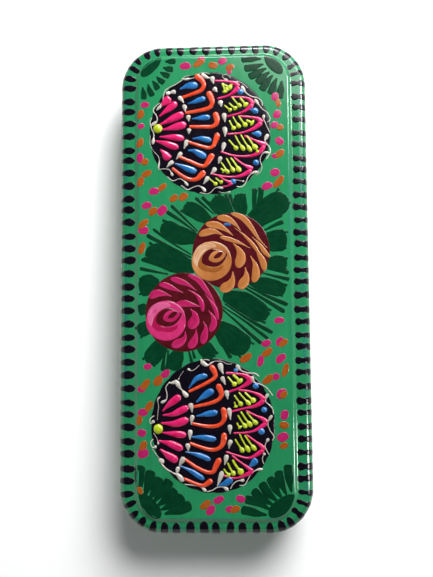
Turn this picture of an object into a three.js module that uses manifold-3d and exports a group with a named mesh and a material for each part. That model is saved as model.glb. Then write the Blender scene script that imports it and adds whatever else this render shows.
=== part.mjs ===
// Hinged tin pencil box, closed. Millimetres, +Z up, length along X, hinge along the +Y side.
// The lid is a shallow pressed tray turned upside down over the base; two soldered strap hinges join them.

import * as THREE from 'three';
import { mergeVertices } from 'three/addons/utils/BufferGeometryUtils.js';
import Module from 'manifold-3d';

// ---- driving dimensions ----

const SHEET = 0.35; // tinplate thickness

const LID_LENGTH = 200;
const LID_WIDTH = 77;
const LID_CORNER = 17.5; // plan radius of the outer corners
const CLOSED_HEIGHT = 25;
const SHOULDER = 3.2; // radius between the lid's top and its skirt
const SKIRT_BOTTOM = 12.4;
const HEM_HEIGHT = 2.6; // the skirt's edge is folded inwards on itself over this height

const PANEL_RISE = 1.2; // the pressed panel stands this much above the lid's border
const PANEL_SLOPE = 1.85; // plan width of the step up to the panel
const PANEL_INSET_SIDE = 5.9; // from the long edges to the foot of the step
const PANEL_INSET_END = 4.6; // from the short edges to the foot of the step
const PANEL_CORNER = 12;

const BASE_INSET = 1.6; // from the lid's outer plane to the base's outer wall
const BASE_BOTTOM_RADIUS = 3;
const RIM_RADIUS = 0.8; // the base's top edge is curled into a bead of this radius
const RIM_CLEARANCE = 0.3; // between the bead and the inside of the lid's shoulder

const HINGE_SPACING = 120; // between the centres of the two hinges
const HINGE_LENGTH = 18;
const HINGE_HEIGHT = 11.2; // of the pivot above the table
const LEAF_SHEET = 0.4;
const KNUCKLE_BORE = 0.65; // radius
const KNUCKLE_WALL_GAP = 0.1; // between a knuckle and the base's wall
const KNUCKLE_END_GAP = 0.4;
const LID_KNUCKLE_LENGTH = 8;
const LEAF_HEIGHT = 5.6;
const LEAF_CORNER = 1.2;
const LEAF_SETBACK = 1.5; // from the pivot to the straight edge of a leaf
const SOLDER_GAP = 0.1; // between the lid's leaf and the skirt it is soldered to
const PIN_RADIUS = 0.45;
const PIN_HEAD_RADIUS = 0.8;
const PIN_HEAD_LENGTH = 0.5;
const PIN_HEAD_GAP = 0.15;

// three.js puts twice this many facets on an arc
const CORNER_STEPS = 6;
const CURL_STEPS = 8;
const LEAF_CORNER_STEPS = 2;
const EDGE_STEPS = 5; // facets on a rounded edge
const BEAD_STEPS = 3;
const PIN_SIDES = 12;
const FAR = 20; // how far a cutting or clipped solid runs past the part

// ---- derived dimensions ----

const borderTop = CLOSED_HEIGHT - PANEL_RISE;
const baseLength = LID_LENGTH - 2 * BASE_INSET;
const baseWidth = LID_WIDTH - 2 * BASE_INSET;
const baseCorner = LID_CORNER - BASE_INSET;

const knuckleRadius = KNUCKLE_BORE + LEAF_SHEET;
const baseWallY = baseWidth / 2;
const pivotY = baseWallY + KNUCKLE_WALL_GAP + knuckleRadius;

// The bead sits under the shoulder, RIM_CLEARANCE inside the shoulder's inner arc.
const shoulderReach = SHOULDER - SHEET - RIM_CLEARANCE - RIM_RADIUS;
const beadOffset = SHOULDER - BASE_INSET - RIM_RADIUS;
const beadRise = Math.sqrt(shoulderReach ** 2 - beadOffset ** 2);
const baseHeight = borderTop - SHOULDER + beadRise + RIM_RADIUS;

// The knuckles stand out behind the lid, so the whole box is moved to centre its bounds on Y = 0.
const knuckleOverhang = pivotY + knuckleRadius - LID_WIDTH / 2;
const centringShift = -knuckleOverhang / 2;

// ---- materials ----

function metal(color, roughness, metalness) {
  return new THREE.MeshStandardMaterial({ color, roughness, metalness });
}
const greenLacquer = metal(0x329d72, 0.22, 0.1);
const hingeTin = metal(0xb4b2a8, 0.4, 0.9);
const pinSteel = metal(0x8f9092, 0.35, 1.0);

// ---- solids ----

const wasm = await Module();
wasm.setup();

function solidFrom(geometry) {
  geometry.deleteAttribute('normal');
  geometry.deleteAttribute('uv');
  const merged = mergeVertices(geometry);
  const vertProperties = new Float32Array(merged.attributes.position.array);
  const triVerts = new Uint32Array(merged.index.array);
  return new wasm.Manifold(new wasm.Mesh({ numProp: 3, vertProperties, triVerts }));
}

function geometryFrom(solid) {
  const mesh = solid.getMesh();
  const geometry = new THREE.BufferGeometry();
  geometry.setAttribute('position', new THREE.BufferAttribute(mesh.vertProperties, 3));
  geometry.setIndex(new THREE.BufferAttribute(mesh.triVerts, 1));
  geometry.computeVertexNormals();
  return geometry;
}

function roundedRectangle(length, width, radius) {
  const x = length / 2 - radius;
  const y = width / 2 - radius;
  const shape = new THREE.Shape();
  shape.absarc(x, y, radius, 0, Math.PI / 2);
  shape.absarc(-x, y, radius, Math.PI / 2, Math.PI);
  shape.absarc(-x, -y, radius, Math.PI, 1.5 * Math.PI);
  shape.absarc(x, -y, radius, 1.5 * Math.PI, 2 * Math.PI);
  return shape;
}

// A rounded rectangle between two heights, its upper and lower edges drawn in by `edge` over `edgeHeight`.
function slab({ length, width, corner, bottom, top, edge = 0, edgeHeight = edge, edgeSteps = EDGE_STEPS }) {
  const geometry = new THREE.ExtrudeGeometry(roundedRectangle(length, width, corner), {
    depth: top - bottom - 2 * edgeHeight,
    curveSegments: CORNER_STEPS,
    bevelEnabled: edge > 0,
    bevelSize: edge,
    bevelOffset: -edge,
    bevelThickness: edgeHeight,
    bevelSegments: edgeSteps,
  });
  geometry.translate(0, 0, bottom + edgeHeight);
  return solidFrom(geometry);
}

// ---- lid ----

function lidSlab(inset, bottom, top, edge) {
  return slab({
    length: LID_LENGTH - 2 * inset,
    width: LID_WIDTH - 2 * inset,
    corner: LID_CORNER - inset,
    bottom,
    top,
    edge,
  });
}

// The pressed panel as a block with sloping sides, its foot at `foot`.
function panelBlock(foot) {
  return slab({
    length: LID_LENGTH - 2 * PANEL_INSET_END,
    width: LID_WIDTH - 2 * PANEL_INSET_SIDE,
    corner: PANEL_CORNER,
    bottom: foot - 2 * PANEL_RISE,
    top: foot + PANEL_RISE,
    edge: PANEL_SLOPE,
    edgeHeight: PANEL_RISE,
    edgeSteps: 1,
  });
}

function lidShell() {
  const outside = lidSlab(0, SKIRT_BOTTOM - FAR, borderTop, SHOULDER).add(panelBlock(borderTop));
  const insideTop = borderTop - SHEET;
  const hemTop = SKIRT_BOTTOM + HEM_HEIGHT;
  const skirtCavity = lidSlab(SHEET, hemTop - FAR, insideTop, SHOULDER - SHEET)
    .subtract(lidSlab(0, hemTop - 2 * FAR, hemTop, 0));
  const hemCavity = lidSlab(2 * SHEET, SKIRT_BOTTOM - 2 * FAR, hemTop + SHEET, 0);
  const below = lidSlab(-1, SKIRT_BOTTOM - 2 * FAR, SKIRT_BOTTOM, 0);
  return outside
    .subtract(skirtCavity)
    .subtract(hemCavity)
    .subtract(panelBlock(insideTop))
    .subtract(below);
}

// ---- base ----

function baseSlab(inset, bottom, top, edge, edgeSteps) {
  return slab({
    length: baseLength - 2 * inset,
    width: baseWidth - 2 * inset,
    corner: baseCorner - inset,
    bottom,
    top,
    edge,
    edgeSteps,
  });
}

function baseShell() {
  const body = baseSlab(0, 0, baseHeight + FAR, BASE_BOTTOM_RADIUS);
  const underBead = baseSlab(0, -FAR, baseHeight, RIM_RADIUS, BEAD_STEPS);
  const floorCavity = baseSlab(SHEET, SHEET, baseHeight, BASE_BOTTOM_RADIUS - SHEET);
  const belowBead = baseSlab(0, -FAR, baseHeight - 2 * RIM_RADIUS, RIM_RADIUS - SHEET, BEAD_STEPS);
  const mouth = baseSlab(2 * RIM_RADIUS, baseHeight / 2, baseHeight + FAR, 0);
  return body
    .intersect(underBead)
    .subtract(floorCavity.intersect(belowBead))
    .subtract(mouth);
}

// ---- hinges ----

// Sections are drawn with Y across and Z up, about the pivot, and run along X.
const alongX = new THREE.Matrix4().makeBasis(
  new THREE.Vector3(0, 1, 0),
  new THREE.Vector3(0, 0, 1),
  new THREE.Vector3(1, 0, 0),
);

function sectionAlongX(shape, start, length) {
  const geometry = new THREE.ExtrudeGeometry(shape, {
    depth: length,
    curveSegments: CURL_STEPS,
    bevelEnabled: false,
  });
  geometry.applyMatrix4(alongX);
  geometry.translate(start, 0, 0);
  return solidFrom(geometry);
}

// A strap that runs straight along one side of the pin, then rolls round it through 300 degrees.
// side is -1 for a strap rising to the pin on the -Y side, +1 for one dropping to it on the +Y side.
// It leaves the pin's tangent over the LEAF_SETBACK, to lie `jog` nearer the pivot's plane.
function curl(side, jog) {
  const inner = KNUCKLE_BORE;
  const outer = knuckleRadius;
  const reach = side * (LEAF_SETBACK + LEAF_SHEET);
  const straight = side * LEAF_SETBACK;
  const start = side < 0 ? Math.PI : 0;
  const end = start - (5 / 3) * Math.PI;
  const shape = new THREE.Shape();
  shape.moveTo(side * (outer - jog), reach);
  shape.lineTo(side * (outer - jog), straight);
  shape.lineTo(side * outer, 0);
  shape.absarc(0, 0, outer, start, end, true);
  shape.lineTo(inner * Math.cos(end), inner * Math.sin(end));
  shape.absarc(0, 0, inner, end, start, false);
  shape.lineTo(side * (inner - jog), straight);
  shape.lineTo(side * (inner - jog), reach);
  return shape;
}

// The flat, soldered part of a leaf: a rounded plate in the XZ plane.
function leafPlate(side, jog) {
  const shape = roundedRectangle(HINGE_LENGTH, LEAF_HEIGHT, LEAF_CORNER);
  const geometry = new THREE.ExtrudeGeometry(shape, {
    depth: LEAF_SHEET,
    curveSegments: LEAF_CORNER_STEPS,
    bevelEnabled: false,
  });
  geometry.rotateX(Math.PI / 2);
  const outerFace = side * (knuckleRadius - jog);
  const innerFace = side * (KNUCKLE_BORE - jog);
  geometry.translate(0, Math.max(outerFace, innerFace), side * (LEAF_SETBACK + LEAF_HEIGHT / 2));
  return solidFrom(geometry);
}

function lidLeaf() {
  // The jog brings the plate from the knuckle's tangent to SOLDER_GAP off the skirt.
  const jog = pivotY + KNUCKLE_BORE - LID_WIDTH / 2 - SOLDER_GAP;
  const knuckle = sectionAlongX(curl(1, jog), -LID_KNUCKLE_LENGTH / 2, LID_KNUCKLE_LENGTH);
  return leafPlate(1, jog).add(knuckle);
}

function baseLeaf() {
  const knuckleStart = LID_KNUCKLE_LENGTH / 2 + KNUCKLE_END_GAP;
  const knuckleLength = HINGE_LENGTH / 2 - knuckleStart;
  const right = sectionAlongX(curl(-1, 0), knuckleStart, knuckleLength);
  const left = sectionAlongX(curl(-1, 0), -HINGE_LENGTH / 2, knuckleLength);
  return leafPlate(-1, 0).add(right).add(left);
}

// A wire pin with its two ends peened over.
function hingePin() {
  const headStart = HINGE_LENGTH / 2 + PIN_HEAD_GAP;
  const headEnd = headStart + PIN_HEAD_LENGTH;
  const profile = [
    [0, -headEnd],
    [PIN_RADIUS, -headEnd],
    [PIN_HEAD_RADIUS, -headStart - PIN_HEAD_LENGTH / 2],
    [PIN_HEAD_RADIUS, -headStart],
    [PIN_RADIUS, -headStart],
    [PIN_RADIUS, headStart],
    [PIN_HEAD_RADIUS, headStart],
    [PIN_HEAD_RADIUS, headStart + PIN_HEAD_LENGTH / 2],
    [PIN_RADIUS, headEnd],
    [0, headEnd],
  ].map(([x, y]) => new THREE.Vector2(x, y));
  const geometry = new THREE.LatheGeometry(profile, PIN_SIDES);
  geometry.rotateZ(-Math.PI / 2);
  return solidFrom(geometry);
}

// ---- assembly ----

function piece(name, solid, material) {
  const mesh = new THREE.Mesh(geometryFrom(solid), material);
  mesh.name = name;
  return mesh;
}

const pencilBox = new THREE.Group();
pencilBox.position.y = centringShift;

pencilBox.add(piece('base_shell', baseShell(), greenLacquer));
pencilBox.add(piece('lid_shell', lidShell(), greenLacquer));

for (const [end, x] of [['left', -HINGE_SPACING / 2], ['right', HINGE_SPACING / 2]]) {
  const hinge = new THREE.Group();
  hinge.position.set(x, pivotY, HINGE_HEIGHT);
  hinge.add(piece(`lid_hinge_leaf_${end}`, lidLeaf(), hingeTin));
  hinge.add(piece(`base_hinge_leaf_${end}`, baseLeaf(), hingeTin));
  hinge.add(piece(`hinge_pin_${end}`, hingePin(), pinSteel));
  pencilBox.add(hinge);
}

export default pencilBox;
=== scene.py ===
"""Looks of a hinged tin pencil box with a hand-painted lid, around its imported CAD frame."""

import math
import random

import bpy
import numpy as np
from mathutils import Matrix, Vector


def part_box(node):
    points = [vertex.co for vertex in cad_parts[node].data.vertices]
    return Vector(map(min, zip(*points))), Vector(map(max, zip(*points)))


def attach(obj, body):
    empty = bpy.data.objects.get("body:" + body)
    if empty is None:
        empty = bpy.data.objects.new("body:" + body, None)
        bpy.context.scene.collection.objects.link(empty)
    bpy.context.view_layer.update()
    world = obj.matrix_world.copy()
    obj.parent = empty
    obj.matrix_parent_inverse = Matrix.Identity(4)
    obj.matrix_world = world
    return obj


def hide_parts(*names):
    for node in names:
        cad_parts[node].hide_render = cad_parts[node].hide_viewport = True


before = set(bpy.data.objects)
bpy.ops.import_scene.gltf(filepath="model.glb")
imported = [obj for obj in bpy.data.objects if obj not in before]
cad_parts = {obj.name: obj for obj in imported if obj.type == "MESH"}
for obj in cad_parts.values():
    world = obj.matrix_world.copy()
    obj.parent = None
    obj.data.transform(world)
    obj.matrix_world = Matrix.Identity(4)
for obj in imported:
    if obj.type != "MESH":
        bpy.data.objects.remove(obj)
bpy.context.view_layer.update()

# ---- dimensions, in millimetres ----

MM = 0.001
SHEET = 0.35
SHOULDER = 3.2
LID_CORNER = 17.5
PANEL_RISE = 1.2
PANEL_SLOPE = 1.85
PANEL_INSET_SIDE = 5.9
PANEL_INSET_END = 4.6
PANEL_CORNER = 12.0
HEM_HEIGHT = 2.6
BASE_BOTTOM_RADIUS = 3.0
RIM_RADIUS = 0.8
FLAT_REACH = 30.0  # how far the flat parts of the skins reach in from their edges
PAINT_ROOT = 0.05  # how deep every stroke reaches into the surface under it
FLAT_PAINT = 0.2  # thinner strokes than this have a flat top, thicker ones a round one

lid_low, lid_high = (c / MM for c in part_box("lid_shell"))
base_low, base_high = (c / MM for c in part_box("base_shell"))
LID_X = (lid_high.x - lid_low.x) / 2
LID_Y = (lid_high.y - lid_low.y) / 2
MIDDLE_Y = (lid_high.y + lid_low.y) / 2
PANEL_TOP = lid_high.z
BORDER_TOP = PANEL_TOP - PANEL_RISE
SKIRT_BOTTOM = lid_low.z
BASE_X = (base_high.x - base_low.x) / 2
BASE_Y = (base_high.y - base_low.y) / 2
BASE_CORNER = LID_CORNER - (LID_X - BASE_X)
BASE_TOP = base_high.z
PANEL_X = LID_X - PANEL_INSET_END
PANEL_Y = LID_Y - PANEL_INSET_SIDE

rng = random.Random(11)


def smoothstep(t):
    t = np.clip(t, 0, 1)
    return t * t * (3 - 2 * t)


# ---- meshes ----


def mesh_object(name, verts, faces, materials, face_material=None, attributes=None):
    """A smooth-shaded object from points in millimetres, with named point attributes."""
    mesh = bpy.data.meshes.new(name)
    mesh.from_pydata([tuple(p) for p in np.asarray(verts) * MM], [], faces)
    for material in materials:
        mesh.materials.append(material)
    if face_material is not None:
        mesh.polygons.foreach_set("material_index", face_material)
    mesh.polygons.foreach_set("use_smooth", [True] * len(mesh.polygons))
    for key, values in (attributes or {}).items():
        values = np.asarray(values, np.float32)
        kind = "FLOAT" if values.ndim == 1 else "FLOAT_VECTOR"
        attribute = mesh.attributes.new(key, kind, "POINT")
        attribute.data.foreach_set("value" if values.ndim == 1 else "vector", values.ravel())
    mesh.update()
    obj = bpy.data.objects.new(name, mesh)
    bpy.context.scene.collection.objects.link(obj)
    return obj


def outline(half_x, half_y, radius, corner_steps=20, long_steps=40, short_steps=12):
    """Points round a rounded rectangle, anticlockwise from its +X end, and their outward normals."""
    points, normals = [], []
    sx, sy = half_x - radius, half_y - radius
    corners = [(sx, sy, 0), (-sx, sy, 90), (-sx, -sy, 180), (sx, -sy, 270)]
    for i, (cx, cy, start) in enumerate(corners):
        for k in range(corner_steps):
            a = math.radians(start + 90 * k / (corner_steps - 1))
            points.append((cx + radius * math.cos(a), cy + radius * math.sin(a)))
            normals.append((math.cos(a), math.sin(a)))
        nx, ny = corners[(i + 1) % 4][:2]
        a = math.radians(start + 90)
        n = (math.cos(a), math.sin(a))
        end = (nx + radius * n[0], ny + radius * n[1])
        begin = points[-1]
        steps = long_steps if i % 2 == 0 else short_steps
        for k in range(1, steps):
            points.append(tuple(begin[j] + (end[j] - begin[j]) * k / steps for j in range(2)))
            normals.append(n)
    return np.array(points), np.array(normals)


def loft(rings):
    """Vertices and quads through rings of equal length, the first and last closed by a fan."""
    count = len(rings[0])
    verts = np.concatenate(rings)
    faces = []
    for r in range(len(rings) - 1):
        for i in range(count):
            j = (i + 1) % count
            a, b = r * count, (r + 1) * count
            faces.append((a + i, a + j, b + j, b + i))
    first, last = len(verts), len(verts) + 1
    verts = np.concatenate([verts, [rings[0].mean(0), rings[-1].mean(0)]])
    top = (len(rings) - 1) * count
    for i in range(count):
        j = (i + 1) % count
        faces.append((first, j, i))
        faces.append((last, top + i, top + j))
    return verts, faces


def ring(half_x, half_y, radius, z):
    points, _ = outline(half_x, half_y, radius)
    return np.column_stack([points[:, 0], points[:, 1] + MIDDLE_Y, np.full(len(points), z)])


def arc(inset_centre, z_centre, radius, start, end, steps):
    """(inset, z) along an arc in the wall's section; 0 degrees points outwards, 90 up."""
    angles = np.radians(np.linspace(start, end, steps))
    return [(inset_centre - radius * math.cos(a), z_centre + radius * math.sin(a)) for a in angles]


def lid_rings(drop):
    """Rings of the lid's skin from the panel's middle out to the skirt, drop below its outer face."""
    rings, ridge = [], []

    def add(half_x, half_y, radius, z, worn=0.0):
        rings.append(ring(half_x, half_y, radius, z - drop))
        ridge.append(worn)

    for share in (0.25, 0.55, 0.8, 0.92):
        inset = PANEL_SLOPE + FLAT_REACH * (1 - share)
        add(PANEL_X - inset, PANEL_Y - inset, max(1.0, PANEL_CORNER - inset), PANEL_TOP)
    for t in np.linspace(-0.25, 1.25, 16):
        inset = PANEL_SLOPE * (1 - t)
        worn = math.exp(-((t - 0.12) / 0.16) ** 2)
        add(PANEL_X - inset, PANEL_Y - inset, PANEL_CORNER - inset,
            BORDER_TOP + PANEL_RISE * float(1 - smoothstep(t)), worn)
    start = SHOULDER + 0.3
    add(LID_X - start, LID_Y - start, LID_CORNER - start, BORDER_TOP)
    for k, (inset, z) in enumerate(arc(SHOULDER, BORDER_TOP - SHOULDER, SHOULDER - drop, 90, 0, 12)):
        worn = math.exp(-((k - 1.5) / 1.6) ** 2)
        add(LID_X - inset, LID_Y - inset, LID_CORNER - inset, z + drop, worn)
    return rings, ridge


def make_lid(lacquer, tinplate):
    outer, ridge = lid_rings(0.0)
    inner, _ = lid_rings(SHEET)
    walls = [(0, BORDER_TOP - SHOULDER - 2), (0, SKIRT_BOTTOM + HEM_HEIGHT + 0.5), (0, SKIRT_BOTTOM + 0.8)]
    walls += arc(SHEET, SKIRT_BOTTOM + SHEET, SHEET, 0, -180, 8)
    hem_top = SKIRT_BOTTOM + HEM_HEIGHT
    inner_walls = [(2 * SHEET, hem_top - 0.15), (2 * SHEET - 0.15, hem_top), (SHEET + 0.02, hem_top)]
    inner_walls += [(SHEET, hem_top + 0.4), (SHEET, BORDER_TOP - SHOULDER - 1)]
    rings = list(outer)
    for inset, z in walls + inner_walls:
        rings.append(ring(LID_X - inset, LID_Y - inset, LID_CORNER - inset, z))
    rings += inner[::-1]
    ridge = ridge + [0.0] * (len(rings) - len(ridge))
    verts, faces = loft(rings)
    count = len(rings[0])
    inside_from = len(outer) + len(walls) - 2
    face_ring = np.array([f[0] // count for f in faces])
    face_ring[-2 * count::2] = 0
    face_material = (face_ring >= inside_from).astype(int)
    worn = np.concatenate([np.repeat(ridge, count), [0.0, 0.0]])
    faces = [tuple(reversed(f)) for f in faces]
    return mesh_object("lid_skin", verts, faces, [lacquer, tinplate], face_material, {"ridge": worn})


def make_base(lacquer, tinplate):
    floor = [(r, 0.0) for r in (FLAT_REACH, 12.0, 5.0, BASE_BOTTOM_RADIUS + 0.4)]
    bottom = arc(BASE_BOTTOM_RADIUS, BASE_BOTTOM_RADIUS, BASE_BOTTOM_RADIUS, -90, 0, 10)
    bead_z = BASE_TOP - RIM_RADIUS
    wall = [(0, 5.0), (0, 12.0), (0, bead_z - 1.0)]
    bead = arc(RIM_RADIUS, bead_z, RIM_RADIUS, 0, 250, 18)
    inner_wall = [(SHEET, bead_z - RIM_RADIUS - 0.4), (SHEET, 8.0)]
    inner_radius = BASE_BOTTOM_RADIUS - SHEET
    inner_bottom = arc(BASE_BOTTOM_RADIUS, BASE_BOTTOM_RADIUS, inner_radius, 0, -90, 8)
    inner_floor = [(BASE_BOTTOM_RADIUS + 0.4, SHEET), (5.0, SHEET), (12.0, SHEET), (FLAT_REACH, SHEET)]
    outside = floor + bottom + wall + bead[:9]
    inside = bead[9:] + inner_wall + inner_bottom + inner_floor
    rings, ridge = [], []
    for inset, z in outside + inside:
        rings.append(ring(BASE_X - inset, BASE_Y - inset, max(0.5, BASE_CORNER - inset), z))
        low = math.exp(-((z - 0.8) / 0.8) ** 2) if inset < BASE_BOTTOM_RADIUS else 0.25
        ridge.append(low)
    verts, faces = loft(rings)
    count = len(rings[0])
    face_ring = np.array([f[0] // count for f in faces])
    face_ring[-2 * count::2] = 0
    face_material = (face_ring >= len(outside) - 1).astype(int)
    worn = np.concatenate([np.repeat(ridge, count), [0.0, 0.0]])
    return mesh_object("base_skin", verts, faces, [lacquer, tinplate], face_material, {"ridge": worn})


# ---- the lid as a surface to paint on ----
# A place on the lid is (across, along), in mm from its middle: across is -Y, away from the hinges,
# and along is +X.


def rounded_distance(x, y, half_x, half_y, radius):
    """Distance outside a rounded rectangle, negative inside."""
    qx = np.abs(x) - (half_x - radius)
    qy = np.abs(y) - (half_y - radius)
    outside = np.hypot(np.maximum(qx, 0), np.maximum(qy, 0))
    return outside + np.minimum(np.maximum(qx, qy), 0) - radius


def lid_height(across, along):
    step = rounded_distance(along, across, PANEL_X, PANEL_Y, PANEL_CORNER)
    z = BORDER_TOP + PANEL_RISE * smoothstep(-step / PANEL_SLOPE)
    inset = -rounded_distance(along, across, LID_X, LID_Y, LID_CORNER)
    short = np.clip(SHOULDER - inset, 0, SHOULDER)
    return z - (SHOULDER - np.sqrt(SHOULDER ** 2 - short ** 2))


def on_lid(points, height):
    """Points (..., 2) on the lid raised by height, in the row frame in mm."""
    across, along = points[..., 0], points[..., 1]
    return np.stack([along, MIDDLE_Y - across, lid_height(across, along) + height], -1)


EDGE_POINTS, EDGE_NORMALS = outline(LID_X, LID_Y, LID_CORNER, 40, 160, 40)
edge_steps = np.linalg.norm(np.roll(EDGE_POINTS, -1, 0) - EDGE_POINTS, axis=1)
EDGE_LENGTH = np.concatenate([[0], np.cumsum(edge_steps)])


def over_edge(s, t, height):
    """Points over the lid's shoulder: s runs round the edge, t from the border (below 0) over it and down."""
    s = np.mod(s, EDGE_LENGTH[-1])
    ring_x = np.interp(s, EDGE_LENGTH, np.append(EDGE_POINTS[:, 0], EDGE_POINTS[0, 0]))
    ring_y = np.interp(s, EDGE_LENGTH, np.append(EDGE_POINTS[:, 1], EDGE_POINTS[0, 1]))
    nx = np.interp(s, EDGE_LENGTH, np.append(EDGE_NORMALS[:, 0], EDGE_NORMALS[0, 0]))
    ny = np.interp(s, EDGE_LENGTH, np.append(EDGE_NORMALS[:, 1], EDGE_NORMALS[0, 1]))
    quarter = SHOULDER * math.pi / 2
    turn = np.clip(t, 0, quarter) / SHOULDER
    inset = SHOULDER * (1 - np.sin(turn)) - np.minimum(t, 0)
    z = BORDER_TOP - SHOULDER * (1 - np.cos(turn)) - np.maximum(t - quarter, 0)
    out = height * np.sin(turn) - inset
    x = ring_x + nx * out
    y = ring_y + ny * out + MIDDLE_Y
    step = rounded_distance(x, y - MIDDLE_Y, PANEL_X, PANEL_Y, PANEL_CORNER)
    z = z + PANEL_RISE * smoothstep(-step / PANEL_SLOPE)
    return np.stack([x, y, z + height * np.cos(turn)], -1)


# ---- brush strokes ----


def caps(t, start, end):
    """Rounds off a stroke's width over the first and last shares of its length."""
    a = np.clip(t / start, 0, 1)
    b = np.clip((1 - t) / end, 0, 1)
    return np.sqrt(1 - (1 - a) ** 2) * np.sqrt(1 - (1 - b) ** 2)


def drop_shape(t):
    """A thin tail that swells to a round head."""
    return (0.26 + 0.74 * smoothstep(t / 0.68)) * caps(t, 0.03, 0.2)


def leaf_shape(t):
    return np.sin(math.pi * np.clip(t, 0, 1) ** 0.8) ** 0.62


def blunt_shape(t):
    """A flat brush pressed down: a pointed start and a square end."""
    return (0.3 + 0.7 * smoothstep(t / 0.6)) * caps(t, 0.1, 0.1)


def dab_shape(t):
    return caps(t, 0.5, 0.5)


def stem_shape(t):
    return (0.45 + 0.55 * smoothstep(t)) * caps(t, 0.03, 0.05)


def smooth_path(points, t):
    """A Catmull-Rom curve through points, at shares t of its length."""
    p = np.asarray(points, float)
    if len(p) == 2:
        return p[0] + (p[1] - p[0]) * t[:, None]
    ghost = np.vstack([2 * p[0] - p[1], p, 2 * p[-1] - p[-2]])
    fine = []
    for i in range(len(p) - 1):
        a, b, c, d = ghost[i:i + 4]
        for k in np.linspace(0, 1, 13)[:-1]:
            fine.append(0.5 * (2 * b + (c - a) * k + (2 * a - 5 * b + 4 * c - d) * k ** 2
                               + (3 * b - a - 3 * c + d) * k ** 3))
    fine = np.vstack([fine, p[-1]])
    length = np.concatenate([[0], np.cumsum(np.linalg.norm(np.diff(fine, axis=0), axis=1))])
    length /= length[-1]
    return np.column_stack([np.interp(t, length, fine[:, j]) for j in range(2)])


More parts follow.
